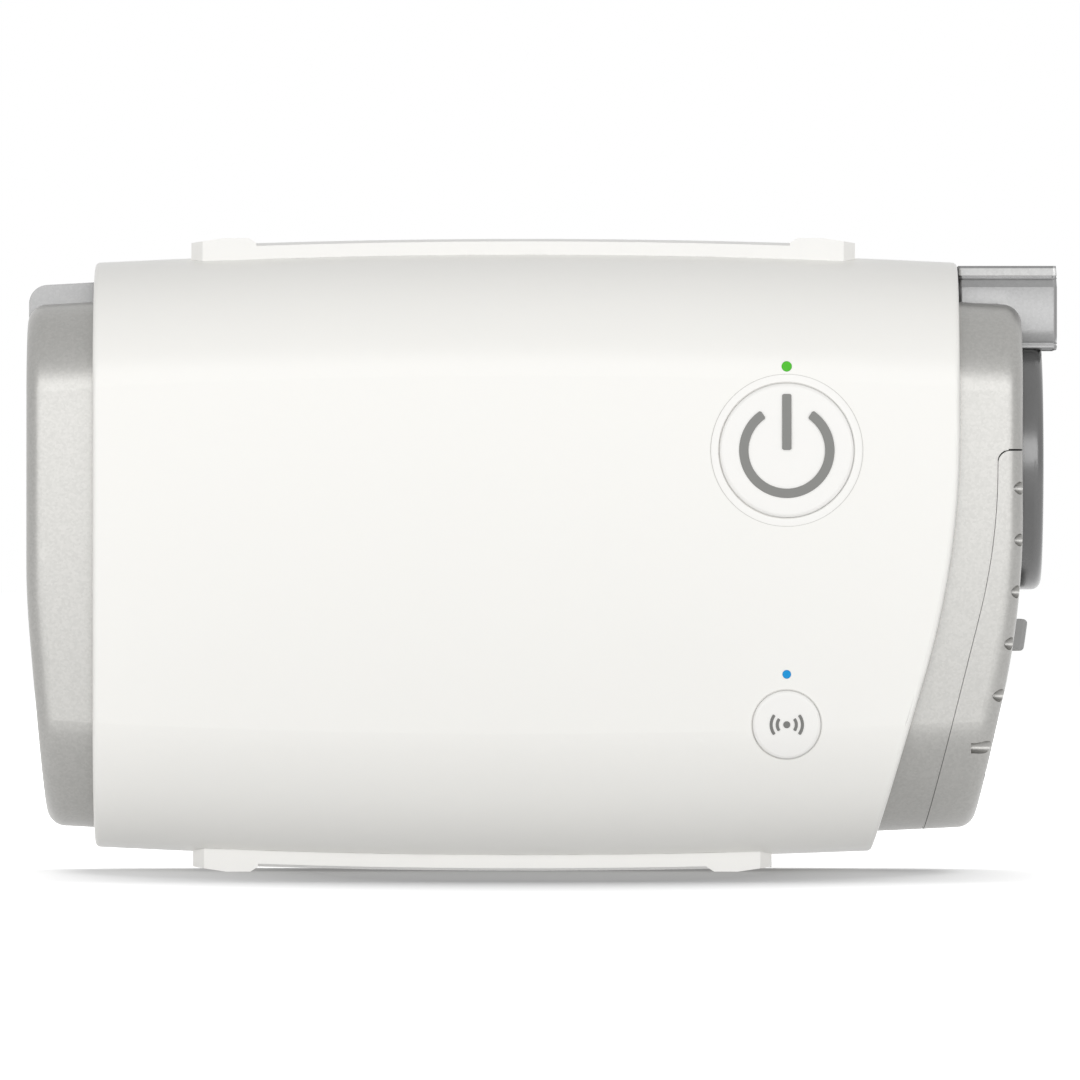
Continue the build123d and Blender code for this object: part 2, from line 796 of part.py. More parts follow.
with BuildPart() as board_parts:
    for x, z, width, height, thick in chips.values():
        left = board_left + x - width / 2
        chip_front = board_front - thick
        block((left, left + width), (chip_front, board_front), (z - height / 2, z + height / 2))
    for x, z in capacitor_places:
        can_front = board_front - capacitor_height
        drum(board_left + x, z, capacitor_radius, (can_front, board_front))

# ---- Blower ---------------------------------------------------------------------------

blower = (blower_x, blower_z)
stub = (blower_x, stub_end)
cavity_radius = volute_radius - volute_wall
motor_front = front_y + motor_depth
joint_front = motor_front + motor_length
joint_back = -joint_front
impeller_back = joint_front + volute_wall + impeller_gap
blades_top = joint_back - volute_wall - blade_gap
ear_places = [
    (blower_x - ear_spread, blower_z - ear_spread),
    (blower_x + ear_spread, blower_z - ear_spread),
    (blower_x - ear_spread, blower_z + ear_spread),
]
ear_depths = (ear_y, ear_y + ear_thick)
reach_box = (mid_x - reach, mid_x + reach)


def volute_form(depths, cavity):
    """One half of the scroll housing, with its half of the outlet stub."""
    drum(*blower, volute_radius, depths)
    rod(*outlet, stub_radius, stub)
    block(reach_box, depths, tall, Mode.INTERSECT)
    drum(*blower, cavity_radius, cavity, Mode.SUBTRACT)
    rod(*outlet, stub_bore, stub, Mode.SUBTRACT)


bearing_back = joint_front + bearing_width + fit_gap
with BuildPart() as blower_front:
    volute_form((joint_front, 0), (joint_front + volute_wall, 0))
    drum(*blower, bearing_radius + motor_wall, (joint_front, bearing_back))
    drum(*blower, bearing_radius + run_gap, (joint_front, bearing_back), Mode.SUBTRACT)

with BuildPart() as blower_rear:
    volute_form((0, joint_back), (0, joint_back - volute_wall))
    drum(*blower, eye_radius, (0, joint_back), Mode.SUBTRACT)
    for x, z in ear_places:
        side = (x - blower_x, z - blower_z)
        with BuildSketch(Plane.XZ.offset(-ear_depths[1])) as ear:
            with Locations(blower):
                SlotCenterPoint((side[0] / 2, side[1] / 2), side, 2 * ear_radius)
            with Locations(blower):
                Circle(volute_radius - fit_gap, mode=Mode.SUBTRACT)
        extrude(ear.sketch, amount=ear_thick)
        drum(x, z, grommet_neck + fit_gap, ear_depths, Mode.SUBTRACT)

motor_inner = motor_front + motor_wall
with BuildPart() as motor_can:
    drum(*blower, motor_radius, (motor_front, joint_front))
    drum(*blower, motor_radius - motor_wall, (motor_inner, joint_front), Mode.SUBTRACT)
    drum(*blower, bearing_radius + motor_wall, (motor_inner, motor_inner + bearing_width))
    drum(*blower, bearing_radius + run_gap, (motor_inner, motor_inner + bearing_width), Mode.SUBTRACT)

with BuildPart() as bearings:
    for front in (motor_inner, joint_front):
        drum(*blower, bearing_radius, (front + fit_gap, front + bearing_width))
    drum(*blower, shaft_radius + run_gap, (motor_front, 0), Mode.SUBTRACT)

magnet_front = motor_inner + bearing_width + seat_gap
magnet_back = joint_front - seat_gap
stator_depths = (magnet_front + seat_gap, magnet_back)
stator_length = stator_depths[1] - stator_depths[0]
core_radius = motor_radius - motor_wall - fit_gap
tooth_reach = core_radius - core_wall

with BuildPart() as stator_core:
    drum(*blower, core_radius, stator_depths)
    drum(*blower, tooth_reach, stator_depths, Mode.SUBTRACT)
    with BuildSketch(Plane.XZ.offset(-stator_depths[1])) as teeth:
        with Locations(blower):
            with PolarLocations((stator_bore + tooth_reach + core_wall / 2) / 2, tooth_count):
                Rectangle(tooth_reach + core_wall / 2 - stator_bore, tooth_width)
    extrude(amount=stator_length)

with BuildPart() as stator_coils:
    with BuildSketch(Plane.XZ.offset(-stator_depths[1] + coil_thick / 2)) as windings:
        with Locations(blower):
            with PolarLocations((stator_bore + tooth_reach) / 2, tooth_count):
                coil_length = tooth_reach - stator_bore - 2 * seat_gap
                Rectangle(coil_length, tooth_width + 2 * coil_thick)
                Rectangle(coil_length, tooth_width, mode=Mode.SUBTRACT)
    extrude(amount=stator_length - coil_thick)

with BuildPart() as motor_shaft:
    drum(*blower, shaft_radius, (motor_inner + fit_gap, impeller_back + hub_length))

with BuildPart() as rotor_magnet:
    drum(*blower, magnet_radius, (magnet_front, magnet_back))
    drum(*blower, shaft_radius, (magnet_front, magnet_back), Mode.SUBTRACT)

with BuildLine() as blade_line:
    ThreePointArc(
        (hub_radius - blade_thick, 0),
        (impeller_radius * blade_belly, blade_curve),
        (impeller_radius - blade_thick, blade_tip),
    )

with BuildPart() as impeller:
    drum(*blower, impeller_radius, (impeller_back, impeller_back + impeller_disc))
    with BuildSketch(Plane.XZ.offset(-blades_top)) as blades:
        with Locations(blower):
            with PolarLocations(0, blade_count):
                SlotArc(blade_line.edge(), blade_thick)
    extrude(amount=blades_top - impeller_back - impeller_disc)
    drum(*blower, hub_radius, (impeller_back, impeller_back + hub_length))
    drum(*blower, shaft_radius, (impeller_back, impeller_back + hub_length), Mode.SUBTRACT)

grommet_depths = (ear_depths[0] - grommet_rim, ear_depths[1] + grommet_rim)
with BuildPart() as blower_grommets:
    for x, z in ear_places:
        drum(x, z, grommet_neck, ear_depths)
        drum(x, z, grommet_flange, (grommet_depths[0], ear_depths[0]))
        drum(x, z, grommet_flange, (ear_depths[1], grommet_depths[1]))
        drum(x, z, post_radius + fit_gap, grommet_depths, Mode.SUBTRACT)

# ---- Chassis, inlet box and sensor -----------------------------------------------------

chassis_front = back_y - chassis_depth
chassis_back = chassis_front + chassis_thick
post_tip = grommet_depths[0]
chassis_left = left_plate + cap_wall + seat_gap

with BuildPart() as chassis:
    block(
        (mid_x - reach, mid_x + reach),
        (chassis_front, chassis_back),
        (base_z + chassis_inset, top_z - chassis_inset),
    )
    for z in (axis_z - runner_z, axis_z + runner_z):
        runner = (z - runner_width / 2, z + runner_width / 2)
        block((mid_x - reach, mid_x + reach), (chassis_front, reach), runner)
    body_form(sleeve_wall + seat_gap, mode=Mode.INTERSECT)
    between((left_plate + spigot + seat_gap,), sleeve_edge(plate_out - spigot - seat_gap))
    for y, z in boss_places:
        boss_right = end_x(sleeve_edge(plate_in - seat_gap), z - boss_radius)
        rod(y, z, boss_radius, (chassis_left, chassis_left + boss_length))
        rod(y, z, boss_radius, (boss_right - boss_length, boss_right))
        rod(y, z, screw_radius + fit_gap, (chassis_left, chassis_left + screw_length), Mode.SUBTRACT)
        rod(y, z, screw_radius + fit_gap, (boss_right - screw_length, boss_right), Mode.SUBTRACT)
    for x, z in ear_places:
        drum(x, z, post_radius, (post_tip, chassis_front))
        drum(x, z, grommet_neck, (grommet_depths[1] + fit_gap, chassis_front))
        drum(x, z, pilot_radius + fit_gap, (post_tip, post_tip + screw_length), Mode.SUBTRACT)
    for x, z in board_posts:
        drum(x, z, post_radius, (board_back, chassis_front))
        pilot = (board_back, board_back + screw_length)
        drum(x, z, screw_radius + fit_gap, pilot, Mode.SUBTRACT)

box_inset = hollow_inset + seat_gap
box_left = board_left
box_front = board_back + box_post_length
box_top = lower_boss - boss_radius - box_gap
box_space = ((box_left, plate_x), (box_front, chassis_front - seat_gap), (0, box_top))


def shrink(ends, by):
    return (ends[0] + by, ends[1] - by)


with BuildPart() as box_hollow:
    body_form(box_inset + box_wall)
    block(
        (box_left + box_wall, hood_end),
        shrink(box_space[1], box_wall),
        shrink(box_space[2], box_wall),
        Mode.INTERSECT,
    )

with BuildPart() as inlet_box:
    body_form(box_inset)
    block(*box_space, Mode.INTERSECT)
    between((box_left,), sleeve_edge(plate_in - seat_gap))
    add(box_hollow.part, mode=Mode.SUBTRACT)
    rod(box_hole_y, filter_middle, box_hole_radius, (box_left, box_left + box_wall), Mode.SUBTRACT)
    for x, z in box_posts:
        drum(x, z, post_radius, (board_back, box_front))
        drum(x, z, pilot_radius + fit_gap, (board_back, box_front), Mode.SUBTRACT)

with BuildPart() as muffler_foam:
    body_form(box_inset + box_wall + seat_gap)
    block(
        (box_left + box_wall + seat_gap, hood_end),
        shrink(box_space[1], box_wall + seat_gap),
        shrink(box_space[2], box_wall + seat_gap),
        Mode.INTERSECT,
    )
    between((box_left,), sleeve_edge(plate_in - foam_setback))

with BuildPart() as flow_sensor:
    sensor_front = duct_radius + seat_gap
    middle = (duct_start + plate_x) / 2
    block(
        (middle - sensor_length / 2, middle + sensor_length / 2),
        (sensor_front, sensor_front + sensor_thick),
        (outlet_height - sensor_width / 2, outlet_height + sensor_width / 2),
    )
    for x in (middle - sensor_length / 4, middle + sensor_length / 4):
        drum(x, outlet_height, lead_radius, (sensor_front, chassis_front - seat_gap))

# ---- Power inlet and leads --------------------------------------------------------------

socket_x = (recess_floor, recess_floor + socket_length)
socket_height = socket_place[1]

with BuildPart() as power_socket:
    half = socket_size / 2
    block(socket_x, (socket_y - half, socket_y + half), (socket_height - half, socket_height + half))
    rod(*socket_place, barrel_radius, (recess_floor, recess_floor + barrel_depth), Mode.SUBTRACT)

with BuildPart() as socket_pin:
    rod(*socket_place, pin_radius, (recess_floor + fit_gap, recess_floor + barrel_depth))

# ---- Screws ---------------------------------------------------------------------------


def screw_along_x(place, head_x, inward, shank):
    """Pan-head screw along X, its head's underside at head_x."""
    rod(*place, screw_head, sorted((head_x, head_x - inward * screw_head_height)))
    rod(*place, screw_radius, sorted((head_x, head_x + inward * shank)))


with BuildPart() as end_screws:
    for place in boss_places:
        screw_along_x(place, left_plate, 1, cap_wall + seat_gap + screw_length - fit_gap)
        boss_right = end_x(sleeve_edge(plate_in - seat_gap), place[1] - boss_radius)
        screw_along_x(place, seat_x, -1, seat_x - boss_right + screw_length - fit_gap)

with BuildPart() as board_screws:
    for x, z in board_posts:
        drum(x, z, screw_head, (board_front - screw_head_height, board_front))
        drum(x, z, screw_radius, (board_front, board_back + screw_length - fit_gap))
    for x, z in box_posts:
        drum(x, z, screw_head, (board_front - screw_head_height, board_front))
        drum(x, z, pilot_radius, (board_front, box_front - fit_gap))

with BuildPart() as blower_screws:
    for x, z in ear_places:
        drum(x, z, screw_head + washer_rim, (post_tip - screw_head_height, post_tip))
        drum(x, z, pilot_radius, (post_tip, post_tip + screw_length - fit_gap))

# ---- Write every piece ------------------------------------------------------------------

pieces = {
    "sleeve": sleeve,
    "top_rail": top_rail,
    "bottom_rail": bottom_rail,
    "left_end_frame": left_end_frame,
    "left_end_cover": left_end_cover,
    "right_end_frame": right_end_frame,
    "right_end_cover": right_end_cover,
    "filter_cover": filter_cover,
    "cover_tab": cover_tab,
    "air_filter": air_filter,
    "outlet_collar": outlet_collar,
    "outlet_seal": outlet_seal,
    "outlet_duct": outlet_duct,
    "power_bezel": power_bezel,
    "power_button": power_button,
    "wireless_button": wireless_button,
    "power_switch": power_switch,
    "power_switch_stem": power_switch_stem,
    "wireless_switch": wireless_switch,
    "wireless_switch_stem": wireless_switch_stem,
    "power_light_pipe": power_light_pipe,
    "wireless_light_pipe": wireless_light_pipe,
    "status_lights": status_lights,
    "main_board": main_board,
    "board_parts": board_parts,
    "blower_front": blower_front,
    "blower_rear": blower_rear,
    "motor_can": motor_can,
    "bearings": bearings,
    "stator_core": stator_core,
    "stator_coils": stator_coils,
    "motor_shaft": motor_shaft,
    "rotor_magnet": rotor_magnet,
    "impeller": impeller,
    "blower_grommets": blower_grommets,
    "chassis": chassis,
    "inlet_box": inlet_box,
    "muffler_foam": muffler_foam,
    "flow_sensor": flow_sensor,
    "power_socket": power_socket,
    "socket_pin": socket_pin,
    "end_screws": end_screws,
    "board_screws": board_screws,
    "blower_screws": blower_screws,
}

os.makedirs("parts", exist_ok=True)
for name, piece in pieces.items():
    piece.part.label = name
    export_step(piece.part, f"parts/{name}.step")
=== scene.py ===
import bpy
import numpy as np
from math import pi, radians
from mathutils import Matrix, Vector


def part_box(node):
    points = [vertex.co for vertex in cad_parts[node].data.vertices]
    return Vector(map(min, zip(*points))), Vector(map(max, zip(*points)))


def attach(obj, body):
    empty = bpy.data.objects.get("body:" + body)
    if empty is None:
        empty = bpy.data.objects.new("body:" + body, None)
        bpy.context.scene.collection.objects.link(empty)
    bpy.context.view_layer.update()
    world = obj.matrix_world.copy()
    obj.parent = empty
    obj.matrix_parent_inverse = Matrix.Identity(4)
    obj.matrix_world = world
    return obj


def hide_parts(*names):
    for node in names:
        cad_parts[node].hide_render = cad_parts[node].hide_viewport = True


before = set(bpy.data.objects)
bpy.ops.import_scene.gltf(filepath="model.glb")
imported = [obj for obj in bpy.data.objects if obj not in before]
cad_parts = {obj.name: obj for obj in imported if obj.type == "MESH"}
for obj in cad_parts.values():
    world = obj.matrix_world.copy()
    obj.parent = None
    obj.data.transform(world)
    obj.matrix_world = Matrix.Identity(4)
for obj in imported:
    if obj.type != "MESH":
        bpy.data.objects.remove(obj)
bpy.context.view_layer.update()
MM = 0.001

# ---- Camera, backdrop and lamps -------------------------------------------------------
# A bench-top product stand: white paper that runs out of sight, a long lens level with
# the middle of the machine, one broad lamp in front, and one above and behind that lights
# the paper alone.


def add_object(name, data):
    """A new object in the scene."""
    made = bpy.data.objects.new(name, data)
    bpy.context.scene.collection.objects.link(made)
    return made


lens_data = bpy.data.cameras.new("long_lens")
lens_data.lens = 578.6
lens_data.sensor_width = 36.0
lens_data.clip_start = 0.05
lens_data.clip_end = 50.0
camera = add_object("camera", lens_data)
camera.location = (-0.33 * MM, -2.3, 43.7 * MM)
camera.rotation_euler = (pi / 2, 0, 0)
bpy.context.scene.camera = camera
bpy.context.scene.view_settings.view_transform = "Standard"


def linear(code):
    """sRGB hex code to linear red, green, blue and alpha."""
    srgb = np.array([int(code[i:i + 2], 16) for i in (1, 3, 5)]) / 255
    low, high = srgb / 12.92, ((srgb + 0.055) / 1.055) ** 2.4
    return (*np.where(srgb <= 0.04045, low, high), 1.0)


def add_node(tree, kind, inputs=(), **settings):
    """Adds a shader node, sets its properties, fills or links its inputs, gives its outputs."""
    made = tree.nodes.new("ShaderNode" + kind)
    for name, value in settings.items():
        setattr(made, name, value)
    for socket, value in dict(inputs).items():
        if isinstance(value, bpy.types.NodeSocket):
            tree.links.new(value, made.inputs[socket])
        else:
            made.inputs[socket].default_value = value
    return made.outputs


def start(name, kind=bpy.data.materials):
    """A new material (or world) with an empty node tree."""
    made = kind.new(name)
    made.use_nodes = True
    made.node_tree.nodes.clear()
    return made, made.node_tree


def sees_studio(tree):
    """1 for rays that show the white studio: straight, off gloss or through clear plastic."""
    ray = add_node(tree, "LightPath")
    straight = add_node(tree, "Math", {0: ray["Is Camera Ray"], 1: ray["Is Transmission Ray"]},
                        operation="MAXIMUM")
    return add_node(tree, "Math", {0: straight[0], 1: ray["Is Glossy Ray"]},
                    operation="MAXIMUM")[0]


ambient = 0.46
world, tree = start("white_studio", bpy.data.worlds)
bpy.context.scene.world = world
level = add_node(tree, "MapRange", {"Value": sees_studio(tree), "To Min": ambient, "To Max": 1.0})
light = add_node(tree, "Background", {"Color": linear("#ffffff"), "Strength": level[0]})
add_node(tree, "OutputWorld", {"Surface": light[0]})


def add_mesh(name, points, faces, *materials):
    """A new mesh object from points in metres, faces that number them and its materials."""
    mesh = bpy.data.meshes.new(name)
    mesh.from_pydata(points.tolist(), [], faces)
    for material in materials:
        mesh.materials.append(material)
    return add_object(name, mesh)


floor_radius = 12.0
around = np.linspace(0, 2 * pi, 97)[:-1]
rim = np.stack([np.cos(around) * floor_radius, np.sin(around) * floor_radius, 0 * around], 1)
floor = add_mesh("floor", rim, [list(range(len(around)))])

# the paper glows, so that it stays white without more light on the machine. Seen straight, it
# glows little beside the machine and more where the lamps no longer reach, and sooner so past
# the ends than in front. Other rays find a darker paper with one even glow, which is weaker for
# those that light dull faces
paper, tree = start("white_paper")
spot = add_node(tree, "Mapping", {"Vector": add_node(tree, "TexCoord")["Object"],
                                  "Scale": (1.6, 0.6, 1.0)})
away = add_node(tree, "VectorMath", {0: spot[0]}, operation="LENGTH")["Value"]
fade = add_node(tree, "MapRange", {"Value": away, "From Min": 0.05, "From Max": 0.16,
                                   "To Min": 0.08, "To Max": 0.8})
ray = add_node(tree, "LightPath")
bounced = add_node(tree, "MapRange", {"Value": ray["Is Diffuse Ray"], "To Min": 0.78,
                                      "To Max": 0.32})
glow = add_node(tree, "Mix", {"Factor": ray["Is Camera Ray"], 2: bounced[0], 3: fade[0]})
tone = add_node(tree, "Mix", {"Factor": ray["Is Camera Ray"], 6: linear("#7c7c7c"),
                              7: linear("#b6b6b6")}, data_type="RGBA")
matt = add_node(tree, "BsdfDiffuse", {"Color": tone[2]})
lift = add_node(tree, "Emission", {"Color": linear("#ffffff"), "Strength": glow[0]})
both = add_node(tree, "AddShader", {0: matt[0], 1: lift[0]})
add_node(tree, "OutputMaterial", {"Surface": both[0]})
floor.data.materials.append(paper)

# name, place, what it faces, width, height, power
lamps = (
    ("front_lamp", (-0.05, -1.3, 0.3), (-0.05, 0, 0.3), 3.0, 0.58, 12.2),
    ("rear_lamp", (0.0, 1.8, 1.4), (0, 0, 0.0), 2.4, 1.3, 145.0),
)
for name, place, target, width, height, power in lamps:
    lamp_data = bpy.data.lights.new(name, "AREA")
    lamp_data.shape = "RECTANGLE"
    lamp_data.size = width
    lamp_data.size_y = height
    lamp_data.energy = power
    lamp = add_object(name, lamp_data)
    lamp.location = place
    direction = Vector(target) - Vector(place)
    lamp.rotation_euler = direction.to_track_quat("-Z", "Y").to_euler()

# the rear lamp is flagged off the machine, so that it whitens only the paper past it
paper_alone = bpy.data.collections.new("paper_alone")
paper_alone.objects.link(floor)
bpy.data.objects["rear_lamp"].light_linking.receiver_collection = paper_alone

# ---- Sleeve ---------------------------------------------------------------------------
# The one-piece tubular shell that everything slides into. Injection-moulded ABS, warm
# white, from a polished mould: smooth with a faint ripple where it shrank on cooling.


def dress(material, *names):
    """Gives CAD nodes their material."""
    for name in names:
        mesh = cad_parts[name].data
        mesh.materials.clear()
        mesh.materials.append(material)


def two_tones(tree, colour, shade, factor):
    """Mixes a colour with a slightly darker one by a pattern."""
    base = linear(colour)
    dark = (*[channel * (1 - shade) for channel in base[:3]], 1.0)
    return add_node(tree, "Mix", {"Factor": factor, 6: dark, 7: base}, data_type="RGBA")[2]


def plastic(name, colour, roughness, grain=0.25 * MM, depth=0.002 * MM, shade=0.03):
    """Moulded plastic or rubber: a base colour clouded a little and a grain from the mould.

    grain is the size of one grain and depth its height; shade is how far the colour drifts.
    """
    material, tree = start(name)
    place = add_node(tree, "TexCoord")["Object"]
    cloud = add_node(tree, "TexNoise", {"Vector": place, "Scale": 55.0, "Detail": 3.0})
    grit = add_node(tree, "TexNoise", {"Vector": place, "Scale": 1 / grain, "Detail": 2.0})
    bump = add_node(tree, "Bump", {"Height": grit[0], "Distance": depth, "Strength": 1.0})
    rough = add_node(tree, "MapRange", {
        "Value": cloud[0], "To Min": roughness - 0.03, "To Max": roughness + 0.03})
    surface = add_node(tree, "BsdfPrincipled", {
        "Base Color": two_tones(tree, colour, shade, cloud[0]), "Roughness": rough[0],
        "Normal": bump[0], "IOR": 1.53})
    add_node(tree, "OutputMaterial", {"Surface": surface[0]})
    return material


white_abs = plastic("abs_warm_white_polished", "#faf9f5", 0.3, 3 * MM, 0.004 * MM, 0.012)
dress(white_abs, "sleeve")

# ---- Rails ------------------------------------------------------------------------------
# Two runners snapped on the top and bottom of the sleeve, moulded in the same white ABS
# but with a finer, duller texture; the pads at their ends are what the machine stands on.

rail_abs = plastic("abs_white_fine_texture", "#f8f7f4", 0.38, 0.3 * MM, 0.004 * MM)
dress(rail_abs, "top_rail", "bottom_rail")

# ---- Silver covers ----------------------------------------------------------------------
# The end covers and the filter cover: ABS sprayed with silver paint whose aluminium
# flakes lie flat, so that it looks like soft metal with a fine sparkle.


def sprayed_silver(name, colour, roughness, sparkle=0.10):
    """Metallic paint: flakes as cells of slightly different brightness under a dull lacquer.

    Real flakes are about 0.03 mm; they are drawn at about 0.3 mm so that they still show.
    """
    flake = 0.28 * MM
    material, tree = start(name)
    place = add_node(tree, "TexCoord")["Object"]
    cell = add_node(tree, "TexVoronoi", {"Vector": place, "Scale": 1 / flake})
    grey = add_node(tree, "SeparateColor", {0: cell["Color"]})
    bump = add_node(tree, "Bump", {"Height": grey[1], "Distance": 0.0015 * MM, "Strength": 1.0})
    surface = add_node(tree, "BsdfPrincipled", {
        "Base Color": two_tones(tree, colour, sparkle, grey[0]), "Metallic": 0.75,
        "Roughness": roughness, "Normal": bump[0], "Coat Weight": 0.15, "Coat Roughness": 0.3})
    add_node(tree, "OutputMaterial", {"Surface": surface[0]})
    return material


silver_paint = sprayed_silver("silver_paint_on_abs", "#acaba8", 0.36)
dress(silver_paint, "left_end_cover", "right_end_cover", "filter_cover")

# a lip on the right cover's edge closes most of the seam to the filter cover: its line runs
# round a small corner, straight down and through a wide bend into a lean, in mm
seam_x, seam_top, seam_foot = 59.55, 55.65, 5.7
seam_corner, seam_bend, seam_turn_height, seam_lean = 1.6, 80.0, 43.4, radians(14.1)
lip_width, lip_recess, lip_depth = 0.17, 0.05, 0.5

turn = np.linspace(pi / 2, 0, 17)
small = np.stack([seam_x + seam_corner - seam_corner * np.cos(turn),
                  seam_top - seam_corner + seam_corner * np.sin(turn)], 1)
tangent = seam_bend * np.tan(seam_lean / 2)
turn = np.linspace(0, seam_lean, 41)
wide = np.stack([seam_x - seam_bend + seam_bend * np.cos(turn),
                 seam_turn_height + tangent - seam_bend * np.sin(turn)], 1)
run = np.linspace(0, 1, 81)[1:, None]
fall = (wide[-1, 1] - seam_foot) * np.array([np.tan(seam_lean), 1.0])
line = np.concatenate([small[:-1], wide, wide[-1] - run * fall])[::-1]


def triples(items, field):
    """A field of three numbers, read from all of a mesh's items as one row each."""
    values = np.zeros(len(items) * 3)
    items.foreach_get(field, values)
    return values.reshape(-1, 3)


# the cover's front edge: mesh points on the line, except those of the wall's inner side,
# which lie further back than the points below them
on_line, wall_step = 0.03, 0.45
points = triples(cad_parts["right_end_cover"].data.vertices, "co") / MM
share = np.linspace(0, 1, len(line))
dense = np.stack([np.interp(np.linspace(0, 1, 4000), share, side) for side in line.T])
reach = np.hypot(points[:, :1] - dense[0], points[:, 2:] - dense[1]).min(axis=1)
edge = points[reach < on_line]
edge = edge[np.argsort(edge[:, 2])]
edge = edge[edge[:, 1] < np.minimum.accumulate(edge[:, 1]) + wall_step]
front = np.interp(line[:, 1], edge[:, 2], edge[:, 1]) + lip_recess


def joined_rings(rings, sides, closed):
    """Quads from each ring of points to the next, all the way round; an open run is capped."""
    step, side = np.meshgrid(np.arange(rings if closed else rings - 1), np.arange(sides),
                             indexing="ij")
    ahead, aside = (step + 1) % rings, (side + 1) % sides
    faces = np.stack([step * sides + side, step * sides + aside, ahead * sides + aside,
                      ahead * sides + side], -1).reshape(-1, 4).tolist()
    if not closed:
        faces += [list(range(sides))[::-1], list(range((rings - 1) * sides, rings * sides))]
    return faces


def housing_strip(name, points, closed, material):
    """A thin strip on the housing from an array of rings by points by x, y, z in mm."""
    faces = joined_rings(len(points), points.shape[1], closed)
    made = add_mesh(name, points.reshape(-1, 3) * MM, faces, material)
    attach(made, "housing")


# four corners at each point of the line: across it towards the filter cover, and in depth
ahead = np.gradient(line, axis=0)
ahead /= np.hypot(*ahead.T)[:, None]
across = np.array([0, lip_width, lip_width, 0])
inner = np.array([0, 0, lip_depth, lip_depth])
lip = np.stack([line[:, :1] + ahead[:, 1:] * across, front[:, None] + inner,
                line[:, 1:] - ahead[:, :1] * across], -1)
housing_strip("seam_lip", lip, False, silver_paint)

# ---- Dark end frames --------------------------------------------------------------------
# The structural ends behind the covers, with the hood over the outlet: glass-filled
# nylon, painted a darker metallic grey with the same flake.

dark_paint = sprayed_silver("graphite_paint_on_nylon", "#929292", 0.34, sparkle=0.08)
dress(dark_paint, "left_end_frame", "right_end_frame")

# ---- Outlet hood ------------------------------------------------------------------------
# A thin moulded visor clipped over the frame where it reaches out above the outlet: rounded
# corners, a rolled lip below, and above a shadow groove under a ridge in a lighter silver, which
# is a painted highlight.

# insets from the visor's outer wall and heights, in mm, from the lip up to the top
visor_profile = np.array([
    (0.50, 68.80), (0.16, 68.98), (0.06, 69.12), (0.06, 69.38), (0.40, 69.42), (0.40, 69.55),
    (0.02, 69.60), (0.02, 69.74), (0.26, 69.80), (0.00, 70.60), (0.00, 71.50), (0.00, 77.05),
    (0.04, 77.15), (0.36, 78.12), (0.12, 78.18), (0.10, 78.32), (0.46, 78.36), (0.46, 78.54),
    (0.08, 78.60), (0.12, 78.72), (0.50, 79.58), (0.58, 79.78), (0.68, 79.90)])
ridge_heights = (78.58, 79.60)
visor_front, visor_back, visor_end, visor_start = -8.30, 8.20, 67.95, 54.95
visor_corner = 0.70

# the share of the insets that the end wall keeps, the places between which the foot comes
# down, and its heights over the cover in front, over the frame's shoulder behind and when down
end_share = 0.25
clear_start, clear_end = 60.5, 63.0
over_cover, over_frame, visor_foot = 74.9, 77.0, visor_profile[0, 1]


def visor_path():
    """Outer wall seen from above: along the front, round two quarter circles and back along the
    rear; gives places and directions inwards."""
    run = np.linspace(0, 1, 25)
    turn = np.linspace(0, pi / 2, 13)[1:-1]
    end, corner = visor_end - visor_corner, visor_corner
    front = np.stack([visor_start + run * (end - visor_start), 0 * run + visor_front], 1)
    bend_a = np.stack([end + corner * np.sin(turn),
                       visor_front + corner - corner * np.cos(turn)], 1)
    across = np.stack([0 * run + visor_end, visor_front + corner
                       + run * (visor_back - visor_front - 2 * corner)], 1)
    bend_b = np.stack([end + corner * np.cos(turn),
                       visor_back - corner + corner * np.sin(turn)], 1)
    back = np.stack([front[::-1, 0], 0 * run + visor_back], 1)
    inward = [np.tile((0.0, 1.0), (len(run), 1)), np.stack([-np.sin(turn), np.cos(turn)], 1),
              np.tile((-1.0, 0.0), (len(run), 1)), np.stack([-np.cos(turn), -np.sin(turn)], 1),
              np.tile((0.0, -1.0), (len(run), 1))]
    return np.concatenate([front, bend_a, across, bend_b, back]), np.concatenate(inward)


# each profile point is moved in from the wall by its inset; insets shrink to the end's share on
# the end wall, and the foot is lifted where the cover or the frame's shoulder is in the way
place, inward = visor_path()
depth_share = end_share + (1 - end_share) * np.abs(inward[:, 1]) ** 4
slope = np.interp(place[:, 0], (clear_start, clear_end), (over_cover, visor_foot))
step = np.where(place[:, 0] < clear_end, over_frame, visor_foot)
lowest = np.where(place[:, 1] < 0, slope, step)
inset = visor_profile[None, :, 0] * depth_share[:, None]
height = np.maximum(visor_profile[None, :, 1], lowest[:, None])
flat = place[:, None, :] + inward[:, None, :] * inset[:, :, None]
points = np.concatenate([flat, height[:, :, None]], 2).reshape(-1, 3) * MM
rows, columns = inset.shape
row, column = np.meshgrid(np.arange(rows - 1), np.arange(columns - 1), indexing="ij")
corner = (row * columns + column).ravel()
faces = np.stack([corner, corner + columns, corner + columns + 1, corner + 1], 1).tolist()
faces.append((np.arange(rows) * columns + columns - 1).tolist())
middle = (visor_profile[1:, 1] + visor_profile[:-1, 1]) / 2
on_ridge = (middle > ridge_heights[0]) & (middle < ridge_heights[1])
# the ridge's faces take a lighter silver than the rest of the visor: a painted highlight along its
# top edge
ridge_highlight_paint = sprayed_silver("silver_painted_highlight_on_nylon", "#d2d2d1", 0.36)
visor = add_mesh("outlet_visor", points, faces, dark_paint, ridge_highlight_paint)
paint_number = [*np.tile(on_ridge, rows - 1).astype(int), 0]
visor.data.polygons.foreach_set("material_index", paint_number)
visor.data.shade_smooth()
visor.data.set_sharp_from_angle(angle=radians(25))
weld = visor.modifiers.new("weld", "WELD")
weld.merge_threshold = 0.005 * MM
wall = visor.modifiers.new("wall", "SOLIDIFY")
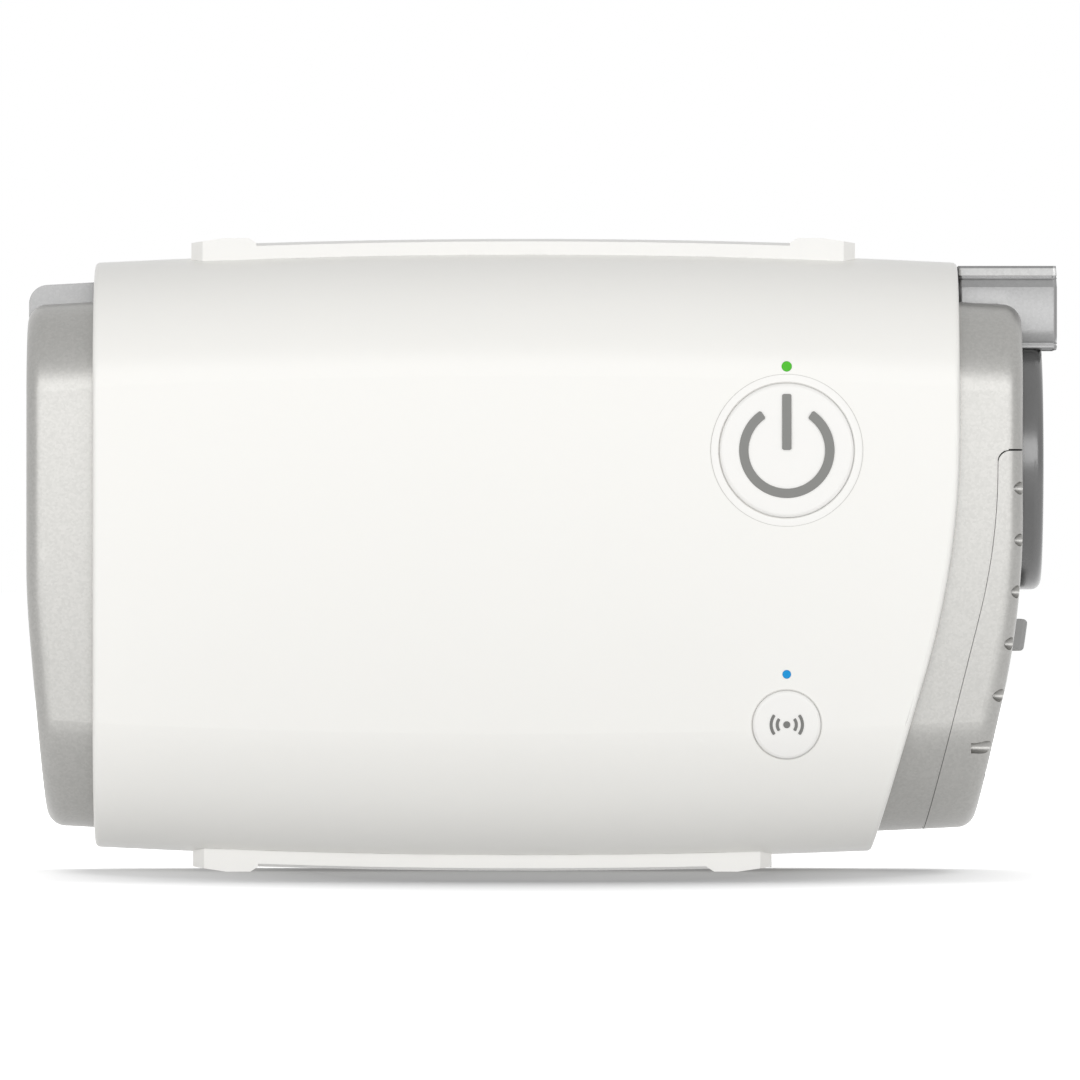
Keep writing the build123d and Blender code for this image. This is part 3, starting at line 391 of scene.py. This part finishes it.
wall.thickness = 0.12 * MM
wall.offset = -1.0
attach(visor, "housing")

# ---- Cover tab --------------------------------------------------------------------------
# The thumb tab by which the filter cover is opened: moulded in mid-grey ABS and glued into
# the cover's face.

tab_abs = plastic("abs_mid_grey", "#a1a1a0", 0.42, 0.25 * MM, 0.006 * MM)
dress(tab_abs, "cover_tab")

# ---- Outlet collar, seal and duct ---------------------------------------------------------
# The ring that the hose adapter pushes into, painted like the frame but glossier, a
# rubber seal at its bottom and the plain moulded duct behind it.

collar_paint = sprayed_silver("dark_gloss_paint_on_nylon", "#6e6e6e", 0.24, sparkle=0.05)
dress(collar_paint, "outlet_collar")

seal_rubber = plastic("silicone_black", "#1d1d1e", 0.55, 0.2 * MM, 0.003 * MM)
dress(seal_rubber, "outlet_seal")

duct_plastic = plastic("polycarbonate_light_grey", "#b9babb", 0.4)
dress(duct_plastic, "outlet_duct")

# ---- Air filter -----------------------------------------------------------------------------
# A throw-away pad of non-woven polyester behind the filter cover: lofted in the middle,
# hot-pressed to a thin rim with a row of weld dimples all round.

filter_low, filter_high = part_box("air_filter")


def soft_copy(name, node, voxel, relief, material):
    """A soft piece in the space of a CAD node: the node's form remeshed in even cells, then each
    point drawn in along its normal by relief(points, normals), so it never grows outwards."""
    form = add_object(name + "_form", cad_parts[node].data.copy())
    weld = form.modifiers.new("weld", "WELD")
    weld.merge_threshold = 0.001 * MM
    remesh = form.modifiers.new("remesh", "REMESH")
    remesh.mode = "VOXEL"
    remesh.voxel_size = voxel
    smooth = form.modifiers.new("smooth", "SMOOTH")
    smooth.iterations = 6
    bpy.context.view_layer.update()
    shaped = form.evaluated_get(bpy.context.evaluated_depsgraph_get())
    mesh = bpy.data.meshes.new_from_object(shaped)
    bpy.data.objects.remove(form)
    mesh.name = name
    points, normals = triples(mesh.vertices, "co"), triples(mesh.vertex_normals, "vector")
    points = points - normals * relief(points, normals)[:, None]
    mesh.vertices.foreach_set("co", points.ravel())
    mesh.shade_smooth()
    mesh.materials.clear()
    mesh.materials.append(material)
    return add_object(name, mesh)


def pressed_pad(points, normals):
    """How far the pad is pressed in: fully over the flat rim, then less and less over the slope,
    with dimples every 2 mm along the rim and a faint crumple over the loft."""
    rim_depth, flat_width, slope_width = 1.25, 1.2, 1.8
    dimple_depth, dimple_line, dimple_size = 0.18, 0.7, 0.35
    crumple_depth, side_depth = 0.12, 0.25
    y, z = points[:, 1] / MM, points[:, 2] / MM
    middle_z = (filter_low[2] + filter_high[2]) / 2 / MM
    half_y, half_z = filter_high[1] / MM, (filter_high[2] - filter_low[2]) / 2 / MM
    corner = 4.0
    out_y = np.maximum(np.abs(y) - half_y + corner, 0)
    out_z = np.maximum(np.abs(z - middle_z) - half_z + corner, 0)
    plain = np.minimum(half_y - np.abs(y), half_z - np.abs(z - middle_z))
    inward = np.where((out_y > 0) & (out_z > 0), corner - np.hypot(out_y, out_z), plain)
    rise = np.clip((inward - flat_width) / slope_width, 0, 1)
    rim = 1 - rise * rise * (3 - 2 * rise)
    along = np.where(np.abs(y) / half_y > np.abs(z - middle_z) / half_z, z, y)
    in_row = np.exp(-((inward - dimple_line) / dimple_size) ** 2)
    dimple = in_row * np.clip(np.cos(along * pi), 0, 1)
    crumple = np.sin(y * 1.1 + 2 * np.sin(z * 0.7)) * np.sin(z * 0.9 + np.sin(y * 0.8))
    depth = rim_depth * rim + dimple_depth * dimple + (1 - rim) * crumple_depth * (1 + crumple)
    faces_out = np.abs(normals[:, 0]) > 0.5
    return np.where(faces_out, depth, side_depth) * MM


media, tree = start("polyester_non_woven_white")
place = add_node(tree, "TexCoord")["Object"]
drawn = add_node(tree, "Mapping", {"Vector": place, "Scale": (2600.0, 2600.0, 700.0),
                                   "Rotation": (0.5, 0, 0)})
fibre = add_node(tree, "TexNoise", {"Vector": drawn[0], "Scale": 1.0, "Detail": 4.0,
                                    "Distortion": 1.2})
bump = add_node(tree, "Bump", {"Height": fibre[0], "Distance": 0.05 * MM, "Strength": 1.0})
surface = add_node(tree, "BsdfPrincipled", {
    "Base Color": two_tones(tree, "#efeeea", 0.12, fibre[0]), "Roughness": 0.9,
    "Normal": bump[0], "Sheen Weight": 0.25})
add_node(tree, "OutputMaterial", {"Surface": surface[0]})

filter_pad = soft_copy("filter_pad", "air_filter", 0.32 * MM, pressed_pad, media)
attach(filter_pad, "housing")
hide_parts("air_filter")

# ---- Buttons and bezel ------------------------------------------------------------------
# Two push caps moulded in a white close to the sleeve's, satin to the touch; the large one
# sits in a glued ring. Their symbols are pad-printed in grey ink, about 0.02 mm thick.

cap_abs = plastic("abs_white_satin_cap", "#fbfaf7", 0.34, 0.3 * MM, 0.002 * MM, 0.012)
dress(cap_abs, "power_button", "wireless_button", "power_bezel")


def face_depth(node):
    """Depth of a cap's domed face as a function of place: a quadratic in x and z that is fitted,
    by least squares, to the points of the cap's own front face."""
    dome_rise = 0.1
    x, y, z = triples(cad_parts[node].data.vertices, "co").T / MM
    middle_x, middle_z = (x.min() + x.max()) / 2, (z.min() + z.max()) / 2
    front = y < y.min() + dome_rise

    def terms(x, z):
        u, v = x - middle_x, z - middle_z
        return np.stack([0 * u + 1, u, v, u * u, v * v], -1)

    fit = np.linalg.lstsq(terms(x[front], z[front]), y[front], rcond=None)[0]
    return middle_x, middle_z, lambda x, z: terms(x, z) @ fit


def ink_stroke(x, z, width, rounding, depth):
    """Points and faces of one printed stroke. A line through x, z carries a flat profile of the
    given width, narrowed at both ends by a quarter circle; its sides reach into the cap."""
    thick, sunk = 0.02, 0.03
    step = np.hypot(np.diff(x), np.diff(z))
    run = np.concatenate([[0], np.cumsum(step)])
    to_end = np.minimum(run, run[-1] - run)
    inside = np.clip(rounding - to_end, 0, rounding)
    half = width / 2 - rounding + np.sqrt(np.maximum(rounding**2 - inside**2, 0))
    along_x, along_z = np.gradient(x, run), np.gradient(z, run)
    length = np.hypot(along_x, along_z)
    side_x, side_z = -along_z / length, along_x / length
    across = np.array([1, 1, 0.5, 0, -0.5, -1, -1])
    grid_x = x[:, None] + side_x[:, None] * half[:, None] * across
    grid_z = z[:, None] + side_z[:, None] * half[:, None] * across
    lift = np.array([sunk, -thick, -thick, -thick, -thick, -thick, sunk])
    grid_y = depth(grid_x, grid_z) + lift
    points = np.stack([grid_x, grid_y, grid_z], -1).reshape(-1, 3) * MM
    return points, joined_rings(len(x), len(across), closed=False)


def join_strokes(name, strokes, material):
    """One object from several strokes."""
    points, faces = [], []
    for stroke_points, stroke_faces in strokes:
        offset = sum(len(part) for part in points)
        faces += [[index + offset for index in face] for face in stroke_faces]
        points.append(stroke_points)
    return add_mesh(name, np.concatenate(points), faces, material)


def arc(middle_x, middle_z, radius, first, last, count):
    """Points on a circle between two angles from straight up, in degrees, clockwise."""
    turn = np.radians(np.linspace(first, last, count))
    return middle_x + radius * np.sin(turn), middle_z + radius * np.cos(turn)


grey_ink = plastic("pad_print_ink_grey", "#858582", 0.5, 0.1 * MM, 0.001 * MM)
middle_x, middle_z, depth = face_depth("power_button")
ring_radius, ring_width, ring_start = 5.635, 1.23, 33.3
bar_foot, bar_top, bar_width = 0.05, 7.39, 1.21
end_rounding = 0.2
ring = arc(middle_x, middle_z, ring_radius, ring_start, 360 - ring_start, 193)
bar_z = np.linspace(bar_foot, bar_top, 61)
power_mark = join_strokes("power_symbol", [
    ink_stroke(*ring, ring_width, end_rounding, depth),
    ink_stroke(middle_x + 0 * bar_z, middle_z + bar_z, bar_width, end_rounding, depth),
], grey_ink)
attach(power_mark, "power_button")

# the clearances round the caps and the bezel are closed by thin ledges a little below the face,
# coloured grey as painted shade for the thin shade line of each clearance; the ring round the
# bezel is greyer still


def edge_depth(node, middle_x, middle_z, radius):
    """Depth of a hole's front edge against height: a parabola through the edge's points."""
    on_edge, front_y = 0.02, -24.0
    x, y, z = triples(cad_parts[node].data.vertices, "co").T / MM
    off_edge = np.abs(np.hypot(x - middle_x, z - middle_z) - radius)
    chosen = (off_edge < on_edge) & (y < front_y)
    return np.polynomial.Polynomial.fit(z[chosen], y[chosen], 2)


def ledge(name, node, middle_x, middle_z, edge, inner, outer, recess, material):
    """A closed ring with a rectangular section between two radii, its front face a recess below
    the surface that the hole's edge, given by its radius, lies in."""
    ledge_depth = 0.4
    turn = np.linspace(0, 2 * pi, 145)[:-1]
    radius = np.array([inner, outer, outer, inner])[None, :]
    x = middle_x + np.cos(turn)[:, None] * radius
    z = middle_z + np.sin(turn)[:, None] * radius
    back = np.array([0, 0, ledge_depth, ledge_depth])
    y = edge_depth(node, middle_x, middle_z, edge)(z) + recess + back
    housing_strip(name, np.stack([x, y, z], -1), True, material)


# grey rings set in the clearances: painted shade standing in for the shade lines round the bezel
# and the caps
bezel_gap_shade = plastic("bezel_gap_painted_shade", "#dad9d5", 0.4, 0.1 * MM, 0.001 * MM)
cap_gap_shade = plastic("cap_gap_painted_shade", "#e4e3df", 0.45, 0.1 * MM, 0.001 * MM)
ledge("bezel_gap_shade_ring", "power_bezel", middle_x, middle_z, edge=9.93,
      inner=9.93, outer=10.03, recess=0.03, material=bezel_gap_shade)
ledge("power_cap_ledge", "power_bezel", middle_x, middle_z, edge=9.0,
      inner=8.86, outer=9.0, recess=0.1, material=cap_gap_shade)

# the small cap carries a plain mark for radio waves: a dot between two pairs of arcs
dark_ink = plastic("pad_print_ink_dark_grey", "#757572", 0.5, 0.1 * MM, 0.001 * MM)
middle_x, middle_z, depth = face_depth("wireless_button")
ledge("wireless_cap_ledge", "sleeve", middle_x, middle_z, edge=4.67,
      inner=4.53, outer=4.67, recess=0.08, material=cap_gap_shade)
dot_radius, dot_rounding = 0.46, 0.459
wave_width, end_rounding, half_span = 0.4, 0.1, 38
dot_x = np.linspace(-dot_radius, dot_radius, 33)
dot = ink_stroke(middle_x + dot_x, middle_z + 0 * dot_x, 2 * dot_radius, dot_rounding, depth)
waves = [dot]
for radius in (1.25, 2.05):
    for right_or_left in (90, 270):
        first, last = right_or_left - half_span, right_or_left + half_span
        wave = arc(middle_x, middle_z, radius, first, last, 41)
        waves.append(ink_stroke(*wave, wave_width, end_rounding, depth))
wave_mark = join_strokes("radio_wave_symbol", waves, dark_ink)
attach(wave_mark, "wireless_button")

# ---- Light pipes and lights ---------------------------------------------------------------
# Clear acrylic pins from the two board lights to the sleeve's face; their ends glow green
# and blue. The lights themselves are small white ceramic packages.


def lit_pipe(name, colour, strength):
    """Clear pin whose end glows in the colour of the light behind it, a little uneven."""
    material, tree = start(name)
    place = add_node(tree, "TexCoord")["Object"]
    cloud = add_node(tree, "TexNoise", {"Vector": place, "Scale": 1500.0})
    tint = two_tones(tree, colour, 0.15, cloud[0])
    surface = add_node(tree, "BsdfPrincipled", {
        "Base Color": tint, "Roughness": 0.3, "IOR": 1.49, "Specular IOR Level": 0.2,
        "Emission Color": tint, "Emission Strength": strength})
    add_node(tree, "OutputMaterial", {"Surface": surface[0]})
    return material


dress(lit_pipe("acrylic_pin_green_light", "#48b822", 0.2), "power_light_pipe")
dress(lit_pipe("acrylic_pin_blue_light", "#0090d4", 0.2), "wireless_light_pipe")
dress(plastic("ceramic_light_package", "#f4f2e6", 0.35), "status_lights")

# ---- Switches and stems ---------------------------------------------------------------------
# Two square push switches on the board with a round stem each: black glass-filled nylon,
# eroded mould, so it has a fine even grain.

black_nylon = plastic("nylon_black_fine_grain", "#232324", 0.5, 0.2 * MM, 0.006 * MM, 0.1)
dress(black_nylon, "power_switch", "wireless_switch", "power_switch_stem", "wireless_switch_stem")

# ---- Circuit board and its parts ---------------------------------------------------------------
# Glass-epoxy board under green solder mask: copper tracks in groups that run upright or
# level, raised a little, drawn 0.35 mm wide. The parts on it are black moulded epoxy.

board, tree = start("solder_mask_green_on_glass_epoxy")
place = add_node(tree, "TexCoord")["Object"]
group = add_node(tree, "TexVoronoi", {"Vector": place, "Scale": 1 / (6 * MM)},
                 distance="CHEBYCHEV")
turned = add_node(tree, "SeparateColor", {0: group["Color"]})
upright = add_node(tree, "Math", {0: turned[0], 1: 0.5}, operation="GREATER_THAN")
line_scale = pi / 10 / (0.7 * MM)
level_lines = add_node(tree, "TexWave", {"Vector": place, "Scale": line_scale},
                       bands_direction="Z")
upright_lines = add_node(tree, "TexWave", {"Vector": place, "Scale": line_scale},
                         bands_direction="X")
lines = add_node(tree, "Mix", {"Factor": upright[0], 2: level_lines[1], 3: upright_lines[1]})
track = add_node(tree, "MapRange", {"Value": lines[0], "From Min": 0.45, "From Max": 0.6})
tone = add_node(tree, "Mix", {"Factor": track[0], 6: linear("#0e4a2a"), 7: linear("#1d6b3d")},
                data_type="RGBA")
bump = add_node(tree, "Bump", {"Height": track[0], "Distance": 0.03 * MM, "Strength": 1.0})
surface = add_node(tree, "BsdfPrincipled", {
    "Base Color": tone[2], "Roughness": 0.3, "Normal": bump[0], "IOR": 1.55})
add_node(tree, "OutputMaterial", {"Surface": surface[0]})
dress(board, "main_board")

epoxy = plastic("epoxy_black_moulded", "#1c1c1e", 0.45, 0.15 * MM, 0.004 * MM, 0.15)
dress(epoxy, "board_parts", "flow_sensor")

# ---- Blower housing -------------------------------------------------------------------------
# Two scroll halves moulded in black nylon and screwed face to face: matt and a little
# cloudy. The inlet box is moulded in the same.

scroll_nylon = plastic("nylon_black_matt", "#29292b", 0.55, 0.35 * MM, 0.008 * MM, 0.12)
dress(scroll_nylon, "blower_front", "blower_rear", "inlet_box")

# ---- Motor, bearings and shaft ------------------------------------------------------------------
# A drawn steel can over a stack of steel sheets with enamelled copper coils; the magnet
# turns on a ground shaft between two ball bearings.

motor_low, motor_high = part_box("motor_can")
motor_x = (motor_low[0] + motor_high[0]) / 2
motor_z = (motor_low[2] + motor_high[2]) / 2


def worked_metal(name, colour, roughness, pitch, height, pattern, turn, shade=0.12):
    """Metal with fine tool marks pitch apart: BANDS along an axis or RINGS round the motor's.

    Real marks are some 0.02 mm apart; they are drawn as coarse as they need to be to show.
    """
    material, tree = start(name)
    place = add_node(tree, "TexCoord")["Object"]
    centred = add_node(tree, "Mapping", {"Vector": place, "Location": (-motor_x, 0, -motor_z)})
    marks = add_node(tree, "TexWave", {
        "Vector": centred[0], "Scale": pi / 10 / pitch, "Distortion": 0.6, "Detail": 2.0,
    }, wave_type=pattern, bands_direction=turn, rings_direction=turn)
    bump = add_node(tree, "Bump", {"Height": marks[1], "Distance": height, "Strength": 1.0})
    surface = add_node(tree, "BsdfPrincipled", {
        "Base Color": two_tones(tree, colour, shade, marks[1]), "Metallic": 1.0,
        "Roughness": roughness, "Normal": bump[0]})
    add_node(tree, "OutputMaterial", {"Surface": surface[0]})
    return material


drawn_steel = worked_metal("steel_drawn_can", "#cdcdce", 0.35, 0.3 * MM, 0.002 * MM, "BANDS", "Y")
dress(drawn_steel, "motor_can")
ground_steel = worked_metal("steel_ground_bright", "#dadadb", 0.18, 0.2 * MM, 0.001 * MM,
                            "RINGS", "Y", 0.06)
dress(ground_steel, "bearings", "motor_shaft")
# the bands are drawn 45% darker in the grooves between the sheets: painted shade
sheet_steel = worked_metal("steel_stacked_sheets", "#8f9092", 0.5, 0.5 * MM, 0.03 * MM,
                           "BANDS", "Y", 0.45)
dress(sheet_steel, "stator_core")
# the bands are drawn half as bright down in the grooves between the turns: painted shade
copper = worked_metal("copper_wire_enamelled", "#c77a4c", 0.28, 0.35 * MM, 0.08 * MM,
                      "BANDS", "Y", 0.5)
dress(copper, "stator_coils")
magnet = worked_metal("ferrite_sintered_nickel_plated", "#7d7e81", 0.4, 0.8 * MM, 0.002 * MM,
                      "RINGS", "Y", 0.08)
dress(magnet, "rotor_magnet")

# ---- Impeller and grommets -----------------------------------------------------------------
# Nine backward blades on a disc, moulded in light grey polycarbonate; the blower hangs on
# three soft black rubber grommets.

blade_plastic = plastic("polycarbonate_pale_grey", "#c3c5c7", 0.3, 0.4 * MM, 0.001 * MM)
dress(blade_plastic, "impeller")
grommet_rubber = plastic("rubber_black_soft", "#202021", 0.7, 0.15 * MM, 0.004 * MM, 0.1)
dress(grommet_rubber, "blower_grommets")

# ---- Chassis -----------------------------------------------------------------------------
# The carrier that holds board, blower and box and takes the end screws: moulded in grey ABS
# with glass fibre, whose short fibres leave a dull, uneven grain.

chassis_plastic = plastic("abs_glass_filled_grey", "#a3a5a8", 0.48, 0.5 * MM, 0.006 * MM, 0.08)
dress(chassis_plastic, "chassis")

# ---- Muffler foam --------------------------------------------------------------------------
# A block of charcoal open-cell polyurethane foam in the inlet box that soaks up the fan's
# noise. Its cut faces are pitted by open cells, drawn 1.1 mm wide so that they show.


def open_cells(points, normals):
    """Depth of the pits: the product of three waves, one per axis and each bent by the next,
    is high in the middle of every cell and falls to nothing on its walls."""
    cell_width, wall_depth, pit_depth, steepness = 1.1, 0.12, 0.42, 1.8
    x, y, z = (points / MM).T * (pi / cell_width)
    wave = np.sin(x + 0.9 * np.sin(y * 0.61)) * np.sin(y + 0.9 * np.sin(z * 0.53))
    wave = wave * np.sin(z + 0.9 * np.sin(x * 0.57))
    return (wall_depth + pit_depth * np.clip(np.abs(wave) * steepness, 0, 1)) * MM


foam, tree = start("polyurethane_foam_charcoal")
place = add_node(tree, "TexCoord")["Object"]
cell = add_node(tree, "TexVoronoi", {"Vector": place, "Scale": 1 / (0.7 * MM)})
deep = add_node(tree, "MapRange", {"Value": cell["Distance"], "From Max": 0.6})
bump = add_node(tree, "Bump", {"Height": deep[0], "Distance": 0.25 * MM, "Strength": 1.0})
# the colour is 55% darker down in each cell's pit, where the bump is lowest: painted shade in the
# pits
surface = add_node(tree, "BsdfPrincipled", {
    "Base Color": two_tones(tree, "#4b4b4e", 0.55, deep[0]), "Roughness": 0.95,
    "Normal": bump[0], "Sheen Weight": 0.2})
add_node(tree, "OutputMaterial", {"Surface": surface[0]})

foam_block = soft_copy("foam_block", "muffler_foam", 0.45 * MM, open_cells, foam)
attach(foam_block, "housing")
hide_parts("muffler_foam")

# ---- Power inlet ---------------------------------------------------------------------------
# The socket for the power lead, deep in the left end: moulded in black nylon round a
# turned brass centre pin.

dress(black_nylon, "power_socket")
brass = worked_metal("brass_turned", "#d8bf7f", 0.22, 0.25 * MM, 0.002 * MM, "BANDS", "X", 0.1)
dress(brass, "socket_pin")

# ---- Screws ---------------------------------------------------------------------------------
# Pan-head thread-forming screws of zinc-plated steel that hold board, blower and ends: fine
# bands across the screw's axis stand for the rolled thread.

# the thread's grooves are drawn 20% darker than its crests: painted shade
zinc = worked_metal("steel_zinc_plated", "#b9babd", 0.32, 0.5 * MM, 0.01 * MM, "BANDS", "Y", 0.2)
dress(zinc, "board_screws", "blower_screws")
zinc_along_x = worked_metal("steel_zinc_plated_along_x", "#b9babd", 0.32, 0.5 * MM, 0.01 * MM,
                            "BANDS", "X", 0.2)
dress(zinc_along_x, "end_screws")
